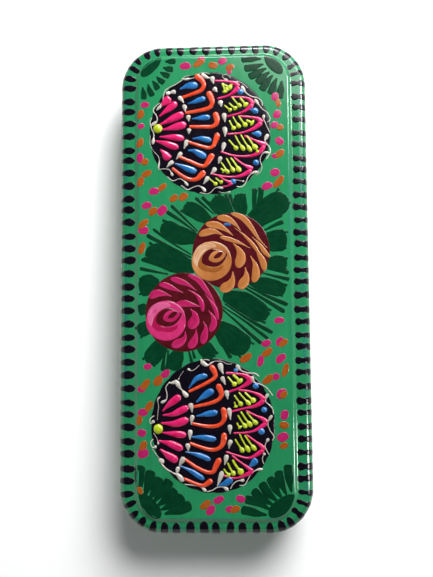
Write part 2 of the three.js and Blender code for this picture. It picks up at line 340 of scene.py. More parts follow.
class Paint:
    """The strokes of one colour, gathered into one piece."""

    def __init__(self, name, material, slot, body="lid"):
        self.name, self.material, self.slot, self.body = name, material, slot, body
        self.verts, self.faces, self.stroke = [], [], []
        self.count = 0

    def patch(self, top, bottom, along, across):
        """A closed sheet of paint between two grids of points."""
        rows, cols = top.shape[:2]
        seed = rng.random()
        self.verts += [top.reshape(-1, 3), bottom.reshape(-1, 3)]
        info = np.stack([along, across, np.full(along.shape, seed)], -1).reshape(-1, 3)
        self.stroke += [info, info]
        a, b = self.count, self.count + rows * cols
        for i in range(rows - 1):
            for j in range(cols - 1):
                k = i * cols + j
                self.faces.append((a + k, a + k + 1, a + k + cols + 1, a + k + cols))
                self.faces.append((b + k, b + k + cols, b + k + cols + 1, b + k + 1))
        edge = list(range(cols)) + [i * cols + cols - 1 for i in range(1, rows)]
        edge += [(rows - 1) * cols + j for j in range(cols - 2, -1, -1)]
        edge += [i * cols for i in range(rows - 2, 0, -1)]
        for k in range(len(edge)):
            m, n = edge[k], edge[(k + 1) % len(edge)]
            self.faces.append((a + n, a + m, b + m, b + n))
        self.count += 2 * rows * cols

    def stroke_on(self, place, path, half_width, shape, thickness, lift=0.0, rows=18, cols=7, wobble=0.05):
        """A stroke along path, (rows x cols) points wide, put on a surface by place(points, height)."""
        t = (1 - np.cos(np.linspace(0, math.pi, rows))) / 2
        centre = smooth_path(path, t)
        tangent = np.gradient(centre, axis=0)
        tangent /= np.linalg.norm(tangent, axis=1)[:, None] + 1e-9
        normal = np.column_stack([-tangent[:, 1], tangent[:, 0]])
        flat = thickness < FLAT_PAINT
        u = np.linspace(-1, 1, cols)
        q = u * (2 - np.abs(u)) if flat else np.sin(u * math.pi / 2)
        phase = rng.random() * 6
        sway = 1 + wobble * np.sin(7 * t + phase)[:, None] * np.where(q < 0, 1, -1)
        width = np.maximum(half_width * shape(t), 0.03)
        offset = width[:, None] * q * sway
        points = centre[:, None, :] + normal[:, None, :] * offset[..., None]
        swell = (width / half_width)[:, None] ** 0.6
        crown = np.clip(1 - np.abs(q) ** (8 if flat else 2), 0, 1) ** 0.4
        top = place(points, lift + thickness * crown * swell)
        bottom = place(points, np.full(points.shape[:2], -PAINT_ROOT))
        along = np.repeat(t[:, None], cols, 1) * np.ptp(centre, axis=0).max() * 0.1
        across = np.repeat(q[None, :], rows, 0) * np.ones((rows, 1))
        self.patch(top, bottom, along, across)

    def stroke_lid(self, path, half_width, shape, thickness=0.07, **options):
        self.stroke_on(on_lid, path, half_width, shape, thickness, **options)

    def disc(self, rings, bottom, centre_top, centre_bottom, info):
        """A closed round patch: rings of points from the outside in, a ring below and the two middles."""
        spokes = rings.shape[1]
        seed = rng.random()
        points = np.concatenate([rings.reshape(-1, 3), bottom, [centre_top], [centre_bottom]])
        self.verts.append(points)
        place = points / 10 if info else points * 0
        self.stroke.append(np.column_stack([place[:, 0], place[:, 1], np.full(len(points), seed)]))
        a = self.count
        under = a + len(rings) * spokes
        top, low = under + spokes, under + spokes + 1
        for i in range(spokes):
            j = (i + 1) % spokes
            for r in range(len(rings) - 1):
                o, n = a + r * spokes, a + (r + 1) * spokes
                self.faces.append((o + j, o + i, n + i, n + j))
            inner = a + (len(rings) - 1) * spokes
            self.faces.append((inner + j, inner + i, top))
            self.faces.append((a + i, a + j, under + j, under + i))
            self.faces.append((under + i, under + j, low))
        self.count += len(points)

    def blob(self, centre, radius, thickness, lift=0.0, squash=1.0, spokes=72, rough=0.0, wave=0):
        """A round flat patch whose edge wavers by rough and has wave scallops."""
        angles = np.linspace(0, 2 * math.pi, spokes, endpoint=False)
        phases = [rng.random() * 6 for _ in range(4)]
        edge = 1 + sum(rough / (k + 1) * np.sin((k + 2) * angles + p) for k, p in enumerate(phases))
        if wave:
            edge = edge + 0.012 * np.abs(np.sin(wave * angles / 2))
        shares = np.array([1.0, 0.985, 0.96, 0.9, 0.7, 0.4])
        r = radius * edge[None, :] * shares[:, None]
        points = np.stack([centre[0] - r * np.cos(angles), centre[1] + squash * r * np.sin(angles)], -1)
        crown = np.sqrt(np.clip(1 - shares ** 24, 0, 1))[:, None] * np.ones((1, spokes))
        middle = np.array(centre, float)
        self.disc(on_lid(points, lift + thickness * crown), on_lid(points[0], -PAINT_ROOT),
                  on_lid(middle, lift + thickness), on_lid(middle, -PAINT_ROOT), True)

    def dot(self, centre, radius, height):
        """A raised round bead of paint."""
        spokes = 18
        angles = np.linspace(0, 2 * math.pi, spokes, endpoint=False)
        turns = np.radians([0, 12, 26, 42, 58, 74])
        r = radius * np.cos(turns)[:, None] * np.ones((1, spokes))
        points = np.stack([centre[0] - r * np.cos(angles), centre[1] + r * np.sin(angles)], -1)
        rise = height * np.sin(turns)[:, None] * np.ones((1, spokes))
        middle = np.array(centre, float)
        self.disc(on_lid(points, rise), on_lid(points[0], -PAINT_ROOT),
                  on_lid(middle, height), on_lid(middle, -PAINT_ROOT), False)

    def finish(self):
        obj = mesh_object(self.name, np.concatenate(self.verts), self.faces, [self.material],
                          attributes={"stroke": np.concatenate(self.stroke)})
        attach(obj, self.body)


# ---- materials ----


def srgb(r, g, b):
    """A linear colour from 0-255 display values."""
    channels = [c / 255 for c in (r, g, b)]
    return [c / 12.92 if c <= 0.04045 else ((c + 0.055) / 1.055) ** 2.4 for c in channels] + [1.0]


class Nodes:
    """A material and short ways to add nodes to it."""

    def __init__(self, name):
        self.material = bpy.data.materials.new(name)
        self.material.use_nodes = True
        self.tree = self.material.node_tree
        self.shader = self.tree.nodes["Principled BSDF"]

    def add(self, kind, inputs=None, **settings):
        node = self.tree.nodes.new(kind)
        for key, value in settings.items():
            setattr(node, key, value)
        for key, value in (inputs or {}).items():
            self.put(node.inputs[key], value)
        return node

    def put(self, socket, value):
        if isinstance(value, bpy.types.NodeSocket):
            self.tree.links.new(value, socket)
        else:
            socket.default_value = value

    def math(self, operation, a, b=0.5, clamp=False):
        node = self.add("ShaderNodeMath", {0: a, 1: b}, operation=operation, use_clamp=clamp)
        return node.outputs[0]

    def mix(self, factor, a, b):
        node = self.add("ShaderNodeMix", data_type="RGBA")
        self.put(node.inputs[0], factor)
        self.put(node.inputs[6], a)
        self.put(node.inputs[7], b)
        return node.outputs[2]

    def noise(self, vector, scale, detail=3.0, rough=0.55):
        inputs = {"Vector": vector, "Scale": scale, "Detail": detail, "Roughness": rough}
        return self.add("ShaderNodeTexNoise", inputs).outputs["Fac"]

    def ramp(self, value, low, high):
        inputs = {"Value": value, "From Min": low, "From Max": high}
        return self.add("ShaderNodeMapRange", inputs, clamp=True).outputs[0]

    def stretched(self, scale):
        """Object coordinates, in metres, times scale."""
        coords = self.add("ShaderNodeTexCoord").outputs["Object"]
        return self.add("ShaderNodeMapping", {"Vector": coords, "Scale": scale}).outputs[0]

    def attribute(self, name, output="Fac"):
        return self.add("ShaderNodeAttribute", attribute_name=name).outputs[output]

    def bump(self, height, strength, distance):
        inputs = {"Height": height, "Strength": strength, "Distance": distance}
        self.put(self.shader.inputs["Normal"], self.add("ShaderNodeBump", inputs).outputs[0])

    def set(self, **values):
        for key, value in values.items():
            self.put(self.shader.inputs[key.replace("_", " ")], value)


def lacquer_material(name, light, dark, under, wear=0.55):
    """Brushed lacquer: streaks along the box, mottling, and the blue under-coat at the pressed ridges."""
    n = Nodes(name)
    streaks = n.noise(n.stretched((35, 420, 420)), 1.0, 4.0)
    mottle = n.noise(n.stretched((1, 1, 1)), 55.0, 4.0)
    tone = n.math("ADD", n.math("MULTIPLY", n.ramp(streaks, 0.2, 0.8), 0.4), n.math("MULTIPLY", mottle, 0.6))
    body = n.mix(n.ramp(tone, 0.15, 0.85), dark, light)
    grain = n.noise(n.stretched((1, 1, 1)), 900.0, 5.0, 0.7)
    patches = n.noise(n.stretched((1, 1, 1)), 95.0, 2.0)
    worn = n.math("MULTIPLY", n.attribute("ridge"), n.ramp(patches, 0.42, 0.62))
    worn = n.math("MULTIPLY", worn, n.ramp(grain, 0.25, 0.6))
    colour = n.mix(n.math("MULTIPLY", worn, wear, clamp=True), body, under)
    specks = n.ramp(n.noise(n.stretched((1, 1, 1)), 1500.0, 2.0), 0.70, 0.78)
    colour = n.mix(n.math("MULTIPLY", specks, 0.35), colour, srgb(30, 62, 60))
    n.set(Base_Color=colour, Roughness=n.ramp(mottle, -0.3, 5.9))
    relief = n.math("ADD", n.math("MULTIPLY", streaks, 0.3), n.noise(n.stretched((1, 1, 1)), 30.0, 2.0))
    n.bump(relief, 0.25, 0.0001)
    return n.material


def tinplate_material(name):
    n = Nodes(name)
    scratches = n.noise(n.stretched((18, 900, 900)), 1.0, 5.0, 0.7)
    bloom = n.noise(n.stretched((1, 1, 1)), 70.0, 4.0)
    stain = n.ramp(n.noise(n.stretched((1, 1, 1)), 28.0, 3.0), 0.56, 0.75)
    colour = n.mix(n.ramp(bloom, 0.1, 0.9), srgb(168, 165, 156), srgb(184, 182, 175))
    colour = n.mix(n.math("MULTIPLY", stain, 0.22), colour, srgb(146, 122, 86))
    rough = n.math("ADD", n.ramp(bloom, -1.9, 5.2), n.math("MULTIPLY", scratches, 0.14))
    n.set(Base_Color=colour, Metallic=0.85, Roughness=rough)
    n.bump(scratches, 0.25, 0.00006)
    return n.material


def brush_paint(name, dark, light, contrast=1.0, edge=0.0, shine=0.5):
    """Brushed enamel: bristle streaks along each stroke, one edge lighter by edge, glossy by shine."""
    n = Nodes(name)
    info = n.attribute("stroke", "Vector")
    parts = n.add("ShaderNodeSeparateXYZ", {"Vector": info})
    along, across, seed = parts.outputs
    combined = n.add("ShaderNodeCombineXYZ", {
        "X": n.math("MULTIPLY", along, 2.0),
        "Y": n.math("MULTIPLY", across, 14 / 6),
        "Z": n.math("MULTIPLY", seed, 41.0),
    }).outputs[0]
    bristles = n.noise(combined, 1.6, 4.0, 0.6)
    mottle = n.noise(n.stretched((1, 1, 1)), 260.0, 3.0)
    tone = n.math("ADD", n.math("MULTIPLY", bristles, 0.7), n.math("MULTIPLY", mottle, 0.3))
    lit = n.ramp(tone, 0.5 - 0.22 / contrast, 0.5 + 0.22 / contrast)
    if edge:
        side = n.ramp(across, 0.1, 1.0)
        lit = n.math("ADD", n.math("MULTIPLY", lit, 1 - edge), n.math("MULTIPLY", side, edge), clamp=True)
    grit = n.noise(n.stretched((1, 1, 1)), 1300.0, 2.0)
    n.set(Base_Color=n.mix(lit, dark, light), Roughness=n.ramp(mottle, -0.3, 5.4), Specular_IOR_Level=shine)
    n.bump(n.math("ADD", bristles, n.math("MULTIPLY", grit, 0.8)), 0.35, 0.00009)
    return n.material


def relief_paint(name, deep, bright):
    """Thick raised paint, mottled between a deep and a bright tone."""
    n = Nodes(name)
    mottle = n.noise(n.stretched((1, 1, 1)), 420.0, 3.0)
    pits = n.noise(n.stretched((1, 1, 1)), 1400.0, 2.0)
    n.set(Base_Color=n.mix(n.ramp(mottle, 0.3, 0.7), deep, bright), Roughness=n.ramp(pits, -0.4, 5.4))
    n.bump(mottle, 0.3, 0.0001)
    return n.material


GREEN_LIGHT, GREEN_DARK, UNDERCOAT = srgb(37, 132, 85), srgb(29, 112, 70), srgb(30, 82, 116)
lacquer = lacquer_material("green_lacquer", GREEN_LIGHT, GREEN_DARK, UNDERCOAT)
tinplate = tinplate_material("tinplate")
hinge_paint = lacquer_material("hinge_lacquer", srgb(26, 124, 82), srgb(16, 100, 64),
                               srgb(134, 132, 124), 0.9)
pin_steel = tinplate_material("pin_steel")

lid_skin = make_lid(lacquer, tinplate)
base_skin = make_base(lacquer, tinplate)
for skin, body, node in ((lid_skin, "lid", "lid_shell"), (base_skin, "base", "base_shell")):
    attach(skin, body)
    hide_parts(node)
for name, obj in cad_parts.items():
    obj.data.materials.clear()
    obj.data.materials.append(pin_steel if "pin" in name else hinge_paint if "leaf" in name else lacquer)

black = Paint("black_brushwork", brush_paint("black_enamel", srgb(8, 6, 14), srgb(18, 13, 24), shine=0.3),
              "black_enamel")
leaves = Paint("leaf_brushwork",
               brush_paint("dark_green_enamel", srgb(2, 40, 22), srgb(8, 60, 35), shine=0.2),
               "dark_green_enamel")
pink = Paint("pink_brushwork", brush_paint("pink_enamel", srgb(146, 18, 76), srgb(172, 38, 100)),
             "pink_enamel")
orange = Paint("orange_brushwork", brush_paint("orange_enamel", srgb(130, 60, 14), srgb(156, 84, 30)),
               "orange_enamel")
maroon = Paint("rose_grounds", brush_paint("maroon_enamel", srgb(58, 8, 16), srgb(82, 18, 26)),
               "maroon_enamel")
ochre = Paint("ochre_petals", brush_paint("ochre_enamel", srgb(150, 86, 38), srgb(192, 132, 80), edge=0.5),
              "ochre_enamel")
rose_pink = Paint("pink_petals", brush_paint("rose_enamel", srgb(148, 16, 68), srgb(192, 48, 108), edge=0.5),
                  "pink_enamel")
RELIEF_COLOURS = {
    "white": (srgb(164, 158, 146), srgb(190, 186, 178)),
    "pink": (srgb(186, 16, 78), srgb(206, 38, 104)),
    "blue": (srgb(20, 84, 146), srgb(42, 112, 172)),
    "orange": (srgb(194, 52, 22), srgb(212, 78, 46)),
    "yellow": (srgb(150, 168, 14), srgb(178, 192, 36)),
}
RELIEF = {}
for colour, (deep, bright) in RELIEF_COLOURS.items():
    relief_name = f"{colour}_relief"
    RELIEF[colour] = Paint(relief_name, relief_paint(relief_name, deep, bright), relief_name)
PAINTS = [black, leaves, pink, orange, maroon, ochre, rose_pink, *RELIEF.values()]

# ---- the border's black strokes ----

BORDER_STROKES = 101
# How far each side's strokes start in from the shoulder, and half their width.
BORDER_HEADS = {"hinge": -3.2, "front": -3.0, "end": -1.7}
BORDER_HALF_WIDTHS = {"hinge": 1.65, "front": 1.6, "end": 1.6}


def border_width(t, side):
    """Share of the full width at t, from the stroke's foot on the skirt to its head on the border."""
    if side == "hinge":
        return np.interp(t, [0, 0.45, 0.74, 0.9, 1], [0.35, 0.55, 1.0, 0.8, 0.35]) * caps(t, 0.05, 0.1)
    if side == "front":
        width = np.interp(t, [0, 0.45, 0.6, 0.7, 0.82, 0.9, 1], [0.5, 0.85, 0.8, 0.55, 0.9, 1, 0.8])
        return width * caps(t, 0.05, 0.14)
    return np.interp(t, [0, 0.5, 0.85, 1], [0.55, 1.0, 1.0, 0.8]) * caps(t, 0.05, 0.2)


def paint_border():
    spacing = EDGE_LENGTH[-1] / BORDER_STROKES
    for k in range(BORDER_STROKES):
        s = (k + 0.5) * spacing + rng.uniform(-0.5, 0.5)
        i = np.searchsorted(EDGE_LENGTH, s) % len(EDGE_NORMALS)
        nx, ny = EDGE_NORMALS[i]
        side = "hinge" if ny > 0.75 else "front" if ny < -0.75 else "end"
        head = BORDER_HEADS[side] + rng.uniform(-0.35, 0.35)
        foot = SHOULDER * math.pi / 2 + rng.uniform(1.2, 3.6)
        slant = rng.uniform(-0.5, 0.5) + (1.0 if side == "end" else 0.0) * rng.uniform(-0.6, 0.6)
        half = BORDER_HALF_WIDTHS[side] * rng.uniform(0.88, 1.1)
        path = [(s + slant, foot), (s + slant * 0.4, (foot + head) / 2), (s, head)]
        black.stroke_on(lambda p, h: over_edge(p[..., 0], p[..., 1], h), path, half,
                        lambda t: border_width(t, side), 0.08, rows=22)


paint_border()

# ---- the two fan medallions ----
# Each black disc carries relief strokes that open from a yellow bead at its left edge.
# A stroke is its path from tail to head, in (across, along) mm, and the width of its head.

UPPER_FAN = {
    "disc": ((-1.3, 61.4), 24.9, 25.6),
    "bead": (-22.8, 63.7),
    "petals": [
        ([(-21.9, 73.0), (-20.4, 74.4), (-18.0, 76.4)], 3.5),
        ([(-22.2, 68.8), (-18.9, 71.5), (-15.2, 74.4)], 3.0),
        ([(-22.3, 65.2), (-17.6, 67.2), (-12.4, 69.8)], 3.3),
        ([(-20.9, 63.2), (-16.4, 64.0), (-11.4, 65.4)], 3.3),
        ([(-22.2, 60.2), (-17.5, 60.0), (-12.2, 59.3)], 2.9),
        ([(-24.0, 58.6), (-19.4, 57.2), (-14.6, 55.5)], 3.0),
        ([(-21.8, 54.8), (-20.0, 53.0), (-18.2, 50.9)], 3.3),
    ],
    "blues": [
        ([(-13.6, 80.4), (-10.2, 81.6), (-6.6, 82.0)], 3.1),
        ([(-10.4, 74.0), (-7.2, 74.8), (-3.2, 76.3)], 2.4),
        ([(-8.6, 67.6), (-5.4, 67.7), (-1.4, 68.2)], 2.5),
        ([(-8.4, 59.1), (-5.0, 59.1), (-0.9, 58.2)], 2.5),
        ([(-10.4, 54.2), (-7.4, 53.8), (-3.2, 51.3)], 2.9),
        ([(-15.8, 48.8), (-11.6, 47.1), (-7.2, 45.2)], 2.8),
        ([(15.0, 70.9), (16.4, 70.7), (18.2, 70.2)], 2.3),
        ([(16.0, 60.8), (17.2, 60.7), (19.2, 60.5)], 2.6),
    ],
    "hooks": [
        ([(-12.9, 76.7), (-8.6, 78.0), (-5.0, 79.5), (-3.6, 81.6), (-4.6, 84.0), (-7.0, 86.0)], 2.7),
        ([(-11.5, 70.1), (-6.0, 70.9), (-1.6, 72.0), (-0.2, 73.9), (-0.6, 76.2), (-1.7, 78.8)], 2.7),
        ([(-9.9, 64.3), (-5.0, 64.0), (-0.4, 64.0), (1.5, 65.4), (1.6, 67.4), (0.9, 69.8)], 2.6),
        ([(-10.4, 57.9), (-6.0, 56.2), (-2.0, 55.1), (0.0, 55.8), (1.1, 58.2), (2.0, 61.0)], 2.4),
        ([(-14.6, 51.8), (-9.5, 49.6), (-5.2, 47.6), (-3.2, 47.8), (-1.6, 50.0), (-0.1, 52.2)], 2.5),
        ([(-17.0, 46.9), (-13.0, 43.7), (-9.7, 42.0), (-7.0, 42.0), (-5.2, 43.4), (-3.7, 45.2)], 2.5),
    ],
    "whites": [
        ([(-16.8, 79.2), (-17.8, 78.9), (-19.2, 78.4)], 1.6),
        ([(-18.2, 78.8), (-17.0, 79.1), (-15.6, 79.3)], 1.9),
        ([(-12.0, 74.4), (-12.8, 75.6), (-14.0, 77.0)], 1.9),
        ([(-11.4, 70.7), (-11.6, 72.0), (-11.8, 73.5)], 1.9),
        ([(-9.9, 66.4), (-10.0, 67.6), (-10.1, 68.9)], 1.9),
        ([(-10.0, 61.1), (-9.9, 62.2), (-9.7, 63.3)], 1.8),
        ([(-12.0, 54.9), (-11.4, 56.6), (-10.6, 58.5)], 1.9),
        ([(-15.2, 50.5), (-14.2, 51.8), (-13.0, 53.2)], 1.8),
        ([(-19.2, 47.3), (-18.0, 48.5), (-16.6, 49.7)], 1.8),
        ([(0.4, 82.3), (0.1, 83.8), (-0.1, 85.2)], 2.0),
        ([(-0.4, 84.8), (-2.4, 85.1), (-4.4, 86.5)], 1.8),
        ([(1.9, 78.7), (1.3, 79.5), (0.6, 80.3)], 2.1),
        ([(3.5, 72.4), (3.3, 73.6), (3.1, 74.8)], 2.1),
        ([(5.0, 65.8), (4.8, 67.6), (4.6, 69.4)], 2.0),
        ([(5.0, 59.7), (5.0, 61.6), (4.9, 63.6)], 2.0),
        ([(3.9, 53.3), (4.2, 55.1), (4.7, 57.0)], 1.9),
        ([(2.2, 48.4), (2.6, 49.7), (3.1, 51.0)], 1.8),
        ([(-1.0, 44.0), (0.0, 45.2), (0.9, 46.4)], 1.9),
        ([(-4.0, 40.0), (-3.1, 41.3), (-2.0, 42.8)], 1.8),
    ],
    "arms": [
        ([(0.9, 83.6), (5.0, 83.4), (9.0, 82.4), (10.7, 80.9)], 2.2),
        ([(1.8, 75.9), (6.0, 76.9), (9.0, 78.8), (10.7, 80.7)], 2.2),
        ([(7.4, 76.4), (11.8, 76.4), (15.2, 75.3), (16.7, 73.3)], 2.0),
        ([(5.8, 68.2), (10.0, 69.2), (13.8, 70.6), (16.6, 73.0)], 1.9),
        ([(10.8, 68.3), (15.0, 67.8), (18.6, 66.9), (20.2, 65.4)], 2.2),
        ([(5.8, 60.8), (11.5, 61.1), (16.4, 62.7), (20.0, 65.2)], 2.0),
        ([(12.8, 60.0), (16.8, 58.0), (19.6, 56.7), (21.6, 55.9)], 2.2),
        ([(3.0, 53.4), (8.8, 51.5), (15.0, 51.3), (18.7, 52.7), (21.0, 55.5)], 2.0),
        ([(8.6, 50.8), (11.6, 48.5), (14.0, 47.0), (16.0, 45.9)], 2.0),
        ([(-0.9, 44.3), (4.8, 42.9), (10.8, 43.0), (15.6, 45.4)], 1.9),
        ([(2.4, 43.0), (5.2, 41.3), (7.6, 40.2)], 1.6),
        ([(3.8, 38.7), (5.8, 39.0), (7.6, 40.0)], 1.5),
    ],
    "pins": [
        ([(3.8, 82.3), (5.6, 81.3), (7.8, 80.4)], 2.6),
        ([(4.2, 81.9), (4.8, 80.2), (5.3, 78.4)], 2.2),
        ([(8.2, 82.0), (6.8, 80.9), (5.6, 79.4)], 2.2),
        ([(4.9, 73.0), (6.2, 71.8), (7.6, 70.7)], 1.9),
        ([(6.7, 73.9), (8.2, 72.5), (9.7, 71.3)], 2.1),
        ([(8.0, 76.3), (9.8, 74.0), (11.7, 72.3)], 1.9),
        ([(11.3, 76.0), (12.6, 74.4), (14.1, 72.7)], 2.6),
        ([(6.8, 66.6), (7.6, 64.9), (8.9, 62.7)], 2.1),
        ([(8.2, 68.2), (9.5, 66.0), (11.1, 63.5)], 1.9),
        ([(10.6, 68.5), (12.0, 66.2), (13.9, 64.0)], 2.1),
        ([(13.8, 66.4), (15.2, 65.8), (16.4, 65.1)], 3.0),
        ([(6.5, 58.3), (8.0, 56.4), (10.0, 54.2)], 2.0),
        ([(9.0, 60.2), (10.6, 57.2), (12.9, 53.8)], 1.9),
        ([(11.5, 60.4), (13.2, 57.2), (15.7, 53.3)], 1.9),
        ([(13.9, 60.0), (15.6, 57.4), (17.8, 54.2)], 2.3),
        ([(17.2, 55.6), (17.8, 54.2), (18.4, 52.7)], 1.7),
        ([(3.2, 48.9), (4.6, 46.9), (6.3, 44.3)], 1.8),
        ([(3.2, 46.4), (3.8, 45.8), (4.5, 45.2)], 2.2),
        ([(5.5, 50.7), (6.8, 48.2), (8.5, 44.9)], 1.9),
        ([(7.2, 50.8), (8.8, 48.4), (11.1, 45.0)], 2.2),
        ([(-1.9, 42.3), (-0.5, 41.2), (1.4, 39.5)], 1.8),
        ([(0.9, 42.4), (2.1, 41.4), (3.6, 40.3)], 1.8),
    ],
    "blue_dots": [
        ((11.6, 78.6), 1.3), ((17.7, 70.2), 1.25), ((18.7, 60.5), 1.4),
        ((17.6, 48.5), 1.3), ((8.2, 40.8), 1.2),
    ],
    "rim": [
        ([(-12, 84.6), (-15.5, 82.4), (-19.4, 80.2), (-20.6, 77), (-20.9, 74.3), (-23.2, 71.6)], 1.5),
        ([(-21.9, 74.8), (-24.1, 73.0), (-24.6, 71.2), (-23.4, 69.2), (-23.1, 67.0), (-25.3, 65.2)], 1.7),
        ([(-25.3, 68.4), (-26.1, 66.6), (-25.3, 63.5), (-24.5, 61.2), (-24.9, 57.2)], 1.6),
        ([(-22.5, 46.4), (-20.2, 46.6), (-17.9, 46.1), (-16.7, 43.7)], 1.3),
        ([(-18.9, 43.4), (-16.6, 41.6), (-14.0, 42.4), (-12.0, 41.5), (-10.4, 39.4)], 1.4),
        ([(-13.2, 39.6), (-10.6, 37.8), (-8.4, 38.7), (-6.0, 39.2), (-4.2, 38.2), (-3.3, 36.8)], 1.5),
        ([(-5.6, 36.4), (-2.8, 35.9), (-1.0, 36.5), (1.0, 38.4), (4.0, 38.2)], 1.2),
        ([(9.4, 38.8), (11.8, 38.6), (13.4, 40.4), (14.4, 42.6), (16.0, 44.1), (18.3, 44.6)], 1.5),
        ([(8.8, 41.5), (12.6, 40.7)], 1.0),
        ([(17.6, 43.2), (19.4, 44.6), (20.0, 46.6), (19.3, 50.0), (20.8, 52.6), (23.2, 52.4)], 1.2),
        ([(21.7, 49.9), (23.3, 52.2), (23.3, 54.6), (21.6, 56.8), (21.5, 58.2), (22.6, 60.2)], 2.0),
        ([(23.4, 61.2), (22.4, 63.2), (21.5, 65.4), (20.9, 66.8), (21.0, 68.5)], 1.5),
        ([(22.3, 65.4), (23.6, 66.6), (22.6, 69.4), (20.6, 70.8), (19.3, 72.6), (17.4, 75.2)], 1.6),
        ([(20.6, 72.4), (20.2, 74.4), (18.4, 75.9), (16.0, 76.5), (13.6, 78.4), (12.0, 80.9)], 1.8),
        ([(14.6, 80.2), (12.0, 82.4), (9.6, 83.0)], 0.9),
        ([(7.6, 84.6), (6.0, 86.0), (4.2, 85.8), (4.7, 84.4), (6.2, 83.7)], 1.0),
        ([(-1.0, 86.5), (-3.4, 87.2), (-5.8, 86.6), (-8.0, 85.0), (-12.0, 84.4)], 1.2),
        ([(-9.4, 86.0), (-11.4, 85.8), (-12.6, 84.4)], 1.0),
        ([(-25.9, 61.0), (-26.0, 57.5), (-25.0, 54.8), (-23.0, 52.5), (-22.2, 50.5), (-22.6, 46.6)], 0.8),
        ([(2.2, 36.7), (4.5, 36.2), (6.9, 36.4)], 0.8),
    ],
}

